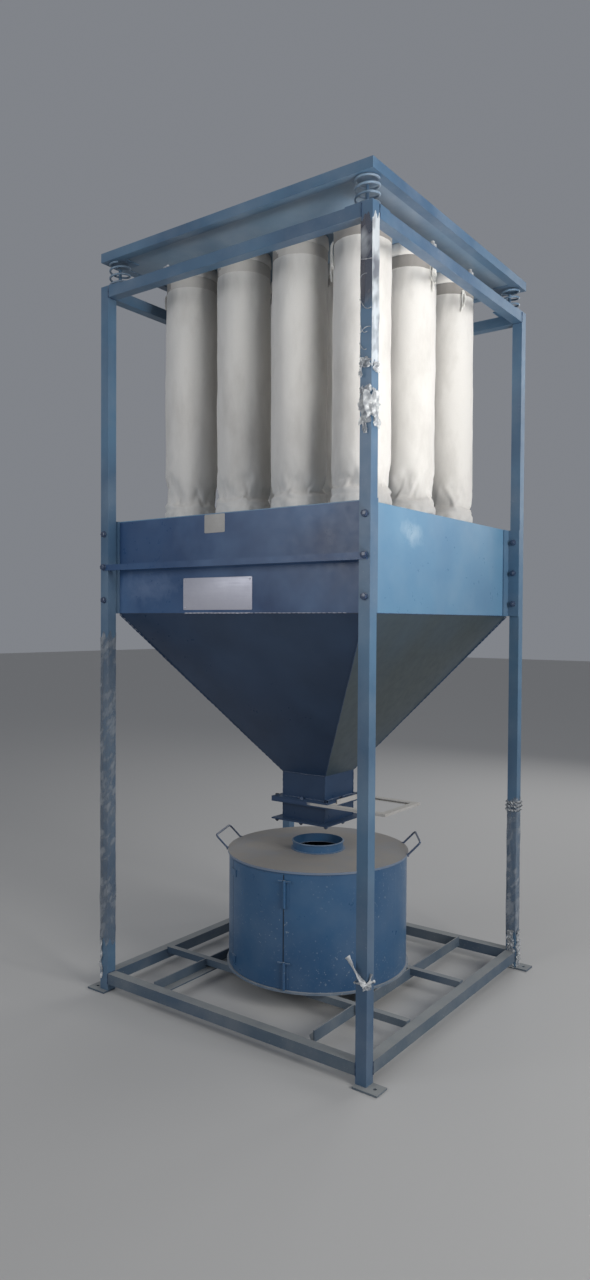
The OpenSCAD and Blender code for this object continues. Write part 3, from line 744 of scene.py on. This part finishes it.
def tie_string(col, row):
    """The string of one tie band: a knot on the band and two loose ends that hang from it."""
    seed = 5.1 * col + 7.7 * row
    hidden = (110 + 50 * math.sin(seed), 0.05 + 0.02 * math.cos(seed), 2.698)
    angle, drop, top = TIES.get((col, row), hidden)
    a = math.radians(angle)
    out = Vector((math.cos(a), math.sin(a), 0.0))
    side = Vector((-math.sin(a), math.cos(a), 0.0))
    knot = Vector((BAG_X[col], BAG_Y[row], top)) + out * 0.1015
    piece = bmesh.new()
    loop = []
    for k in range(10):
        t = math.tau * k / 10
        loop.append(knot + side * 0.0045 * math.cos(t) + Vector((0, 0, 0.0035 * math.sin(t))))
    join_shape(piece, tube(loop, 0.0030, 8))
    for way, part in ((-1, 1.0), (1, 0.72)):
        end = []
        for k in range(13):
            t = k / 12
            bend = 0.006 * math.sin(5.0 * t + seed + way) * t
            end.append(knot + side * (way * 0.010 * t ** 0.6 + bend) + out * (0.002 + 0.008 * t * (1 - t))
                       - Vector((0, 0, drop * part * t ** 1.15)))
        join_shape(piece, tube(end, [0.0036] * 11 + [0.0042, 0.0026], 8, 0.6))
    if drop > 0.1:
        ring = []
        for k in range(25):
            t = math.tau * k / 24
            ring.append(knot + side * (0.016 * math.sin(t) - 0.012) + out * 0.004
                        - Vector((0, 0, 0.038 * (1 - math.cos(t)))))
        join_shape(piece, tube(ring, 0.0028, 8, 0.55))
    name = "string_%d_%d" % (col + 1, row + 1)
    return finish_piece(piece, name, [STRING], "shaker", 1.2)


bags = []
for col in range(4):
    for row in range(3):
        bag, pins = bag_piece(col, row)
        string = tie_string(col, row)
        bags.append((bag, pins))

# The frames that the cloth settles for, and the farthest that one of its points may move
CLOTH_FRAMES = 24
CLOTH_CAP = 0.014


def settle_cloth():
    """The cloth hangs between the hem and the band, a little too long, and settles into its own creases."""
    scene = bpy.context.scene
    for bag, pins in bags:
        held = bag.vertex_groups.new(name="held")
        for index, loose in pins.items():
            held.add([index], 1.0 if loose < 0.3 else max(0.0, 0.8 * (1 - loose)), "REPLACE")
        cloth = bag.modifiers.new("cloth", "CLOTH")
        cloth.point_cache.frame_start = 1
        cloth.point_cache.frame_end = CLOTH_FRAMES
        cloth.collision_settings.use_collision = False
        cloth.collision_settings.use_self_collision = False
        rules = cloth.settings
        rules.quality = 6
        rules.mass = 0.15
        rules.tension_stiffness = 30
        rules.compression_stiffness = 30
        rules.shear_stiffness = 10
        rules.bending_stiffness = 0.8
        rules.tension_damping = 15
        rules.compression_damping = 15
        rules.shear_damping = 10
        rules.air_damping = 2
        rules.vertex_group_mass = "held"
        rules.use_pressure = True
        rules.uniform_pressure_force = 3.0
        rules.shrink_min = -0.015
        rules.effector_weights.gravity = 0.3
    for step in range(1, CLOTH_FRAMES + 1):
        scene.frame_set(step)
    graph = bpy.context.evaluated_depsgraph_get()
    for bag, pins in bags:
        settled = bag.evaluated_get(graph).data
        moves = [Vector(w.co) - v.co for v, w in zip(bag.data.vertices, settled.vertices)]
        bag.modifiers.clear()
        bag.vertex_groups.clear()
        first = bag.data.vertices[0].co
        cx = min(BAG_X, key=lambda x: abs(x - first.x))
        cy = min(BAG_Y, key=lambda y: abs(y - first.y))
        for vert, move in zip(bag.data.vertices, moves):
            vert.co += move * min(1.0, CLOTH_CAP / max(move.length, 0.000001))
            out = Vector((vert.co.x - cx, vert.co.y - cy, 0.0))
            if near_collar(vert.co.z, pins.get(vert.index, 0.0)) and out.length < COLLAR_CLEAR:
                vert.co += out.normalized() * (COLLAR_CLEAR - out.length)
    scene.frame_set(1)


settle_cloth()


# Springs under the tray
def coil_points(cx, cy, start, n_turns, r, z0, z1):
    """The middle line of a coil spring with closed ends."""
    points = []
    steps = int(n_turns * 32)
    dead = 0.35
    for i in range(steps + 1):
        t = i / steps * n_turns
        live = min(1.0, max(0.0, (t - dead) / (n_turns - 2 * dead)))
        a = start + math.tau * t
        points.append((cx + r * math.cos(a), cy + r * math.sin(a), z0 + (z1 - z0) * live))
    return points


def make_springs():
    n_turns, radius, wire = 3.7, 0.037, 0.004
    piece = bmesh.new()
    for n, (sx, sy) in enumerate(CORNERS):
        line = coil_points(sx * SPRING_C, sy * SPRING_C, 0.9 + 1.3 * n, n_turns, radius,
                           SEAT_TOP + wire + EPS, TRAY_Z - wire - EPS)
        join_shape(piece, tube(line, wire, 12))
    springs = finish_piece(piece, "springs", [SPRING_PAINT], None, 1.0)
    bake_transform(springs)
    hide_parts("shaker_springs")


make_springs()


# Bolts and nuts
def make_bolts():
    """Bolts between box and posts, bolts round both flanges of the gate, and nuts on rail and seats."""
    outer_x, inner_x, inner_y, strap_t = 0.581, 0.575, 0.555, 0.003
    small = {"flats": 0.013, "height": 0.006, "wash": 0.009}
    large = {"flats": 0.022, "height": 0.011, "wash": 0.0135, "tail": 0.014}
    dark = bmesh.new()
    for sx, sy in CORNERS:
        for n, z in enumerate((1.50, 1.625, 1.75)):
            proud = strap_t if sy < 0 and n == 1 else 0.0
            bolt(dark, (sx * outer_x, sy * (HALF + proud), z), (0, sy, 0), turn=0.3 * n + sx)
            bolt(dark, (sx * inner_x, sy * inner_y, z), (0, -sy, 0), turn=0.5 * n, tail=0.006)
    for k in (-1, 0, 1):
        for e in (-1, 1):
            for x, y in ((FLANGE_BOLT * k, FLANGE_BOLT * e), (FLANGE_BOLT * e, FLANGE_BOLT * k)):
                if k and x < y:
                    continue
                bolt(dark, (x, y, GATE_TOP + FLANGE_T), (0, 0, 1), turn=k + e, **small)
                bolt(dark, (x, y, OUTLET_LOW), (0, 0, -1), turn=k - e, tail=0.005, **small)
    finish_piece(dark, "frame_bolts", [DARK_PAINT], "stand", 0.5)
    nuts = bmesh.new()
    for y in (-0.19, 0.10):
        bolt(nuts, (HALF - 0.014, y, POST_TOP), (0, 0, 1), turn=y, **large)
    for sx, sy in CORNERS:
        seat = Matrix.Translation((sx * SPRING_C, sy * SPRING_C, SEAT_TOP))
        join_shape(nuts, hexagon(0.019, 0.010, 0.0014), seat @ Matrix.Rotation(0.4 * sx, 4, "Z"))
    finish_piece(nuts, "seat_nuts", [ZINC], "stand", 0.5)


make_bolts()


# Bare plates on the box
def make_plate(name, x0, x1, z0, z1, thick, corner, mat, rivets):
    """A plate on the box's front: a cube with bevelled corners, with or without rivets."""
    inset = 0.009
    y = -BOX_HALF
    shape = bmesh.new()
    bmesh.ops.create_cube(shape, size=1.0)
    size = Matrix.Diagonal((x1 - x0, thick, z1 - z0, 1.0))
    middle = Matrix.Translation(((x0 + x1) / 2, y - thick / 2, (z0 + z1) / 2))
    bmesh.ops.transform(shape, matrix=middle @ size, verts=shape.verts)
    short = [e for e in shape.edges if abs(e.verts[0].co.y - e.verts[1].co.y) > thick / 2]
    bmesh.ops.bevel(shape, geom=short, offset=corner, affect="EDGES", segments=5, profile=0.5,
                    material=-1)
    rim = [e for e in shape.edges if max(v.co.y for v in e.verts) < y - thick * 0.9]
    bmesh.ops.bevel(shape, geom=rim, offset=thick * 0.3, affect="EDGES", segments=2, profile=0.5,
                    material=-1)
    piece = bmesh.new()
    join_shape(piece, shape)
    for x in (x0 + inset, x1 - inset):
        for z in (z0 + inset, z1 - inset):
            if rivets:
                head = turned([(0.0034, 0.0), (0.0032, 0.0010), (0.0022, 0.0017), (0.0008, 0.0020)], 12)
                join_shape(piece, head, facing((0, -1, 0), (x, y - thick, z)))
    finish_piece(piece, name, [mat], "stand", 0.5)


make_plate("name_plate", x0=-0.215, x1=0.104, z0=1.462, z1=1.576, thick=0.0015, corner=0.004,
           mat=PLATE, rivets=True)
make_plate("small_plate", x0=-0.114, x1=-0.020, z0=1.732, z1=1.797, thick=0.0008, corner=0.004,
           mat=LABEL, rivets=False)


# Weld beads
def bead(piece, start, end, radius, seed):
    """A weld bead with its ripple."""
    start, end = Vector(start), Vector(end)
    steps = max(4, int((end - start).length / 0.006))
    points = []
    radii = []
    for i in range(steps + 1):
        p = start.lerp(end, i / steps)
        q = Vector([wobble(p.x, p.y, p.z, 40, seed + 4 * k) for k in range(3)])
        points.append(p + q * radius * 0.35)
        radii.append(radius * (0.85 + 0.25 * math.sin(i * 1.9 + seed)))
    join_shape(piece, tube(points, radii, 6))


def make_welds():
    piece = bmesh.new()
    n = NECK_HALF
    neck_low = GATE_TOP + FLANGE_T
    for sx, sy in CORNERS:
        seed = sx + 2 * sy
        x, y = sx * n, sy * n
        hopper_top = (sx * BOX_HALF, sy * BOX_HALF, BOX_LOW - 0.004)
        bead(piece, hopper_top, (x, y, NECK_TOP + 0.002), 0.0028, seed)
        bead(piece, (x, y, NECK_TOP - 0.001), (x, y, neck_low + 0.003), 0.0022, seed + 1)
        bead(piece, (x, y, GATE_LOW - 0.008), (x, y, OUTLET_LOW + 0.007), 0.0022, seed + 2)
    for s in (-1, 1):
        for p, q in (((-n, s * n), (n, s * n)), ((s * n, -n), (s * n, n))):
            bead(piece, (*p, NECK_TOP + 0.0005), (*q, NECK_TOP + 0.0005), 0.0026, s)
            bead(piece, (*p, neck_low + 0.001), (*q, neck_low + 0.001), 0.0024, s + 5)
        b = BOX_HALF
        bead(piece, (-b, s * b, BOX_LOW), (b, s * b, BOX_LOW), 0.0018, s)
        bead(piece, (s * b, -b, BOX_LOW), (s * b, b, BOX_LOW), 0.0018, s + 1)
    rails = ((low("base_rails")[2], high("base_rails")[2]), (low("top_rails")[2], high("top_rails")[2]))
    inner = HALF - POST_W
    near, far = inner + 0.001, HALF - 0.0005
    for sx, sy in CORNERS:
        for z0, z1 in rails:
            for z in (z0, z1):
                if z < POST_TOP:
                    bead(piece, (sx * inner, sy * far, z), (sx * inner, sy * near, z), 0.0024, z + sx)
                    bead(piece, (sx * far, sy * inner, z), (sx * near, sy * inner, z), 0.0024, z + sy)
            bead(piece, (sx * inner, sy * HALF, z0), (sx * inner, sy * HALF, z1), 0.0022, z0)
            bead(piece, (sx * HALF, sy * inner, z0), (sx * HALF, sy * inner, z1), 0.0022, z0 + 2)
    finish_piece(piece, "weld_beads", [SHADED_HOPPER_PAINT], "stand", 1.0)
    line = bmesh.new()
    y, z = -BOX_HALF - 0.0005, BOX_LOW + 0.001
    for x0, x1, r in ((-0.207, 0.095, 0.0022), (0.095, 0.486, 0.0012)):
        bead(line, (x0, y, z), (x1, y, z), r, x0)
    finish_piece(line, "seal_line", [PLATE], "stand", 1.0)


make_welds()


# Drum handles
def make_handles():
    reach, half_w, rod, bend = 0.050, 0.09, 0.004, 0.014
    foot = math.sqrt(LID_R ** 2 - half_w ** 2)
    z = LID_TOP - 0.004
    corners = [Vector((foot, -half_w, z)), Vector((foot + reach, -half_w, z + reach)),
               Vector((foot + reach, half_w, z + reach)), Vector((foot, half_w, z))]
    line = [corners[0]]
    for i in (1, 2):
        back = (corners[i - 1] - corners[i]).normalized() * bend
        ahead = (corners[i + 1] - corners[i]).normalized() * bend
        line += [corners[i] + back * (1 - k / 8) ** 2 + ahead * (k / 8) ** 2 for k in range(9)]
    line.append(corners[3])
    piece = bmesh.new()
    for degrees in (35, 203):
        turn = Matrix.Rotation(math.radians(degrees), 4, "Z")
        join_shape(piece, tube(line, rod, 12), turn)
        for s in (-1, 1):
            collar = turned([(0.0075, 0.0), (0.0072, 0.002), (0.0055, 0.0045), (rod, 0.006)], 12)
            join_shape(piece, collar, turn @ facing((1, s * 0.12, 0.5), (foot - 0.0005, s * half_w, z)))
    handles = finish_piece(piece, "handles", [DARK_PAINT], "stand", 1.0)
    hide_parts("drum_handles")


make_handles()


# Remains of wrapping film
def round_post(u):
    """A point on a square of half width 1 for 0 to 4 sides round it."""
    side, f = int(u) % 4, 2 * (u - int(u)) - 1
    return ((f, -1), (1, f), (-f, 1), (-1, -f))[side]


def film_sleeve(piece, sx, sy, z0, z1, seed, loose=0.004):
    """A loose sleeve of film round a post: a grid that is wrapped round it and torn at both ends."""
    clear, overlap = 0.0007, 0.0004
    shape = bmesh.new()
    bmesh.ops.create_grid(shape, x_segments=54, y_segments=int((z1 - z0) / 0.011), size=1.0)
    for vert in shape.verts:
        u = (vert.co.x + 1) * 2.2
        t = (vert.co.y + 1) / 2
        x, y = round_post(u)
        z = z0 + (z1 - z0) * t
        tear = 0.035 * wobble(x, y, 0.0, 1.9, seed) * max(0.0, 1 - 8 * min(t, 1 - t))
        slant = 0.5 + 0.5 * math.sin(38 * z + 3.1 * u + 3.0 * wobble(x, y, z * 4, 1.5, seed))
        puff = max(0.0, wobble(x, y, z * 6, 1.3, seed))
        stand_off = clear + overlap * (u > 4) + loose * (0.3 * slant ** 4 + 0.7 * puff)
        half = POST_W / 2 + stand_off
        vert.co = (sx * POST_C + x * half, sy * POST_C + y * half, z + tear)
    join_shape(piece, shape)


def film_scrap(piece, middle, out, width, height, seed, crumple=0.014):
    """A crumpled scrap of film with a torn outline."""
    shape = bmesh.new()
    bmesh.ops.create_grid(shape, x_segments=18, y_segments=18, size=1.0)
    out = Vector(out).normalized()
    side = Vector((-out.y, out.x, 0.0))
    for vert in shape.verts:
        u, v = vert.co.x, vert.co.y
        torn = 0.80 + 0.45 * wobble(u, v, 0.0, 1.1, seed)
        fold = abs(wobble(u, v, 0.3, 1.5, seed + 2)) + 0.35 * abs(wobble(u, v, 0.7, 3.2, seed + 5))
        sway = wobble(u, v, 1.1, 1.3, seed + 8)
        place = side * (u * width / 2 * torn + 0.006 * sway) + out * (crumple * fold)
        rise = v * height / 2 * torn + 0.006 * wobble(u, v, 2.2, 1.6, seed)
        vert.co = Vector(middle) + place + Vector((0, 0, rise))
    join_shape(piece, shape)


def film_strand(piece, points, thick, seed, flat=0.4, twist=0.45):
    """A strand of film, twisted like a rope: a flattened ring that turns as it is extruded."""
    points = [Vector(p) for p in points]
    line = []
    radii = []
    for i, p in enumerate(points[:-1]):
        for k in range(6):
            q = p.lerp(points[i + 1], k / 6)
            line.append(q + Vector([0.0025 * wobble(q.x, q.y, q.z, 30, seed + j) for j in range(3)]))
            radii.append(thick * (0.8 + 0.7 * abs(wobble(q.x, q.y, q.z, 45, seed + 6))))
    join_shape(piece, tube(line, radii, 8, flat, twist))


def post_point(sx, sy, u, z, gap):
    x, y = round_post(u)
    half = POST_W / 2 + gap
    return sx * POST_C + x * half, sy * POST_C + y * half, z


# Scraps round the front right post: x and y from its outer corner, z, width, height and the way they face
SCRAPS = ((-0.020, -0.001, 2.100, 0.050, 0.070, 0, -1), (0.001, 0.018, 2.085, 0.046, 0.090, 1, 0),
          (-0.016, -0.001, 2.050, 0.054, 0.070, 0, -1), (0.001, 0.020, 2.040, 0.044, 0.060, 1, 0),
          (0.000, 0.000, 2.070, 0.044, 0.100, 1, -1), (-0.030, -0.001, 2.110, 0.034, 0.050, -1, -1),
          (0.001, 0.020, 2.190, 0.040, 0.034, 1, 0), (-0.020, -0.001, 2.200, 0.044, 0.040, 0, -1),
          (-0.032, -0.001, 2.185, 0.026, 0.060, -1, -1), (-0.020, -0.001, 2.010, 0.020, 0.050, 0, -1))

# Thin strands across the upper film: z, how many sides of the post they cross and how far they sink
THIN_STRANDS = ((2.512, 0.9, 0.006), (2.455, 0.5, -0.010), (2.392, 0.9, 0.030), (2.318, 0.6, 0.026),
                (2.290, 0.8, -0.014), (2.262, 0.5, 0.020))

# Loose ends at the foot of the front posts: points, thickness, seed, flatness and twist
LOOSE_ENDS = (
    (((0.598, -0.607, 0.318), (0.586, -0.610, 0.336), (0.568, -0.613, 0.360), (0.550, -0.614, 0.384),
      (0.533, -0.612, 0.400)), 0.0095, 7.0, 0.3, 0.12),
    (((0.604, -0.602, 0.318), (0.606, -0.591, 0.336), (0.604, -0.580, 0.354)), 0.008, 8.0, 0.35, 0.2))
LEFT_END = ((-0.595, -0.603, 0.195), (-0.590, -0.604, 0.15), (-0.597, -0.604, 0.11),
            (-0.588, -0.603, 0.076), (-0.594, -0.604, 0.045))


def make_film():
    sleeve = bmesh.new()
    film_sleeve(sleeve, -1, -1, z0=0.19, z1=1.37, seed=9.0)
    film_sleeve(sleeve, 1, 1, z0=0.14, z1=0.70, seed=14.0)
    finish_piece(sleeve, "film_sleeves", [FILM], "stand", 1.2)
    upper = bmesh.new()
    film_sleeve(upper, 1, -1, z0=2.195, z1=2.637, seed=4.0, loose=0.003)
    finish_piece(upper, "upper_film", [THICK_FILM], "stand", 1.2)
    scraps = bmesh.new()
    for n, (dx, dy, z, width, height, ox, oy) in enumerate(SCRAPS):
        film_scrap(scraps, (HALF + dx, dy - HALF, z), (ox, oy, 0), width, height, 3.0 + 2.7 * n)
    for n, (z, run, drop) in enumerate(THIN_STRANDS):
        sag = []
        for k in range(8):
            hang = z - drop * (k / 7) - 0.5 * drop * math.sin(0.45 * k)
            sag.append(post_point(1, -1, 0.06 + run * k / 7, hang, 0.004))
        film_strand(scraps, sag, thick=0.0013, seed=70.0 + n, flat=0.6, twist=0.2)
    ring = [post_point(1, -1, 0.5 * k, 2.07 + 0.012 * math.sin(2.1 * k), 0.003) for k in range(9)]
    film_strand(scraps, ring, thick=0.006, seed=2.0)
    ring = [post_point(1, -1, 1.0 + 0.5 * k, 0.322 + 0.004 * math.sin(1.9 * k), 0.003) for k in range(9)]
    film_strand(scraps, ring, thick=0.005, seed=5.0)
    for points, thick, seed, flat, twist in LOOSE_ENDS:
        film_strand(scraps, points, thick, seed, flat, twist)
    film_scrap(scraps, (0.601, -0.601, 0.318), (1, -1, 0), 0.034, 0.030, 60.0, 0.008)
    film_strand(scraps, LEFT_END, thick=0.005, seed=9.0)
    for z in (0.655, 0.670, 0.685):
        ring = [post_point(1, 1, 0.25 * k, z, 0.0022) for k in range(17)]
        film_strand(scraps, ring, thick=0.007, seed=11.0 + z, flat=0.25)
    for n, z in enumerate((0.135, 0.100, 0.060, 0.025)):
        film_scrap(scraps, (HALF + 0.001, HALF - 0.02, z), (1, 0, 0), 0.040, 0.050, 30.0 + n)
        film_scrap(scraps, (HALF - 0.02, HALF - POST_W - 0.001, z), (0, -1, 0), 0.036, 0.050, 40.0 + n)
    film_scrap(scraps, (-0.26, -HALF + 0.006, POST_TOP + 0.003), (0, -1, 0), 0.030, 0.012, 50.0, 0.006)
    finish_piece(scraps, "film_scraps", [SHRED], "stand", 1.2)


make_film()


# Rubber seal at both upright edges of the drum's door
def make_door_seal():
    piece = bmesh.new()
    radius = 0.0013
    reach = high("drum_shell")[0] + 0.0014
    z0, z1 = low("drum_door")[2] + 0.001, high("drum_door")[2] - 0.001
    for degrees in (-121.3, -75.7):
        a = math.radians(degrees)
        x, y = reach * math.cos(a), reach * math.sin(a)
        join_shape(piece, tube([(x, y, z0), (x, y, z1)], radius, 8))
    finish_piece(piece, "door_seal", [RUBBER], "door", 1.0)


make_door_seal()


# Floor and light
def make_floor():
    shape = bmesh.new()
    bmesh.ops.create_grid(shape, x_segments=2, y_segments=2, size=30.0)
    mesh = bpy.data.meshes.new("floor")
    shape.to_mesh(mesh)
    shape.free()
    mat, _, surface = new_surface("pale_floor")
    surface.inputs["Base Color"].default_value = (0.60, 0.59, 0.57, 1)
    surface.inputs["Roughness"].default_value = 0.85
    mesh.materials.append(mat)
    floor = bpy.data.objects.new("floor", mesh)
    floor.location.z = -0.0008
    bpy.context.scene.collection.objects.link(floor)


def soft_lamp(name, at, to, size, power, color, spread):
    """A soft lamp by its place, aim, size in metres, watts, colour and spread in degrees."""
    data = bpy.data.lights.new(name, "AREA")
    data.shape = "RECTANGLE"
    data.size, data.size_y = size
    data.energy = power
    data.color = color
    data.spread = math.radians(spread)
    lamp = bpy.data.objects.new(name, data)
    lamp.location = at
    lamp.rotation_euler = (Vector(to) - Vector(at)).to_track_quat("-Z", "Y").to_euler()
    bpy.context.scene.collection.objects.link(lamp)


make_floor()
soft_lamp("key", (4.8, -0.8, 2.6), (0.0, 0.0, 2.3), (2.2, 2.2), 74, (1.0, 0.99, 0.98), 130)
soft_lamp("fill", (-1.5, -4.8, 2.7), (0.0, 0.0, 2.4), (2.5, 2.0), 29, (0.95, 0.97, 1.0), 130)
soft_lamp("back", (0.5, 5.5, 3.4), (0.0, 0.0, 1.4), (4.0, 2.5), 60, (1.0, 1.0, 1.0), 160)
soft_lamp("low_right", (2.0, -0.9, 0.7), (0.50, -0.1, 2.75), (0.9, 0.9), 4.2, (1.0, 0.99, 0.97), 44)
world = bpy.data.worlds.new("world")
bpy.context.scene.world = world
world.use_nodes = True
world.node_tree.nodes["Background"].inputs[0].default_value = (0.78, 0.82, 0.90, 1)
world.node_tree.nodes["Background"].inputs[1].default_value = 0.28
bpy.context.scene.view_settings.view_transform = "Standard"
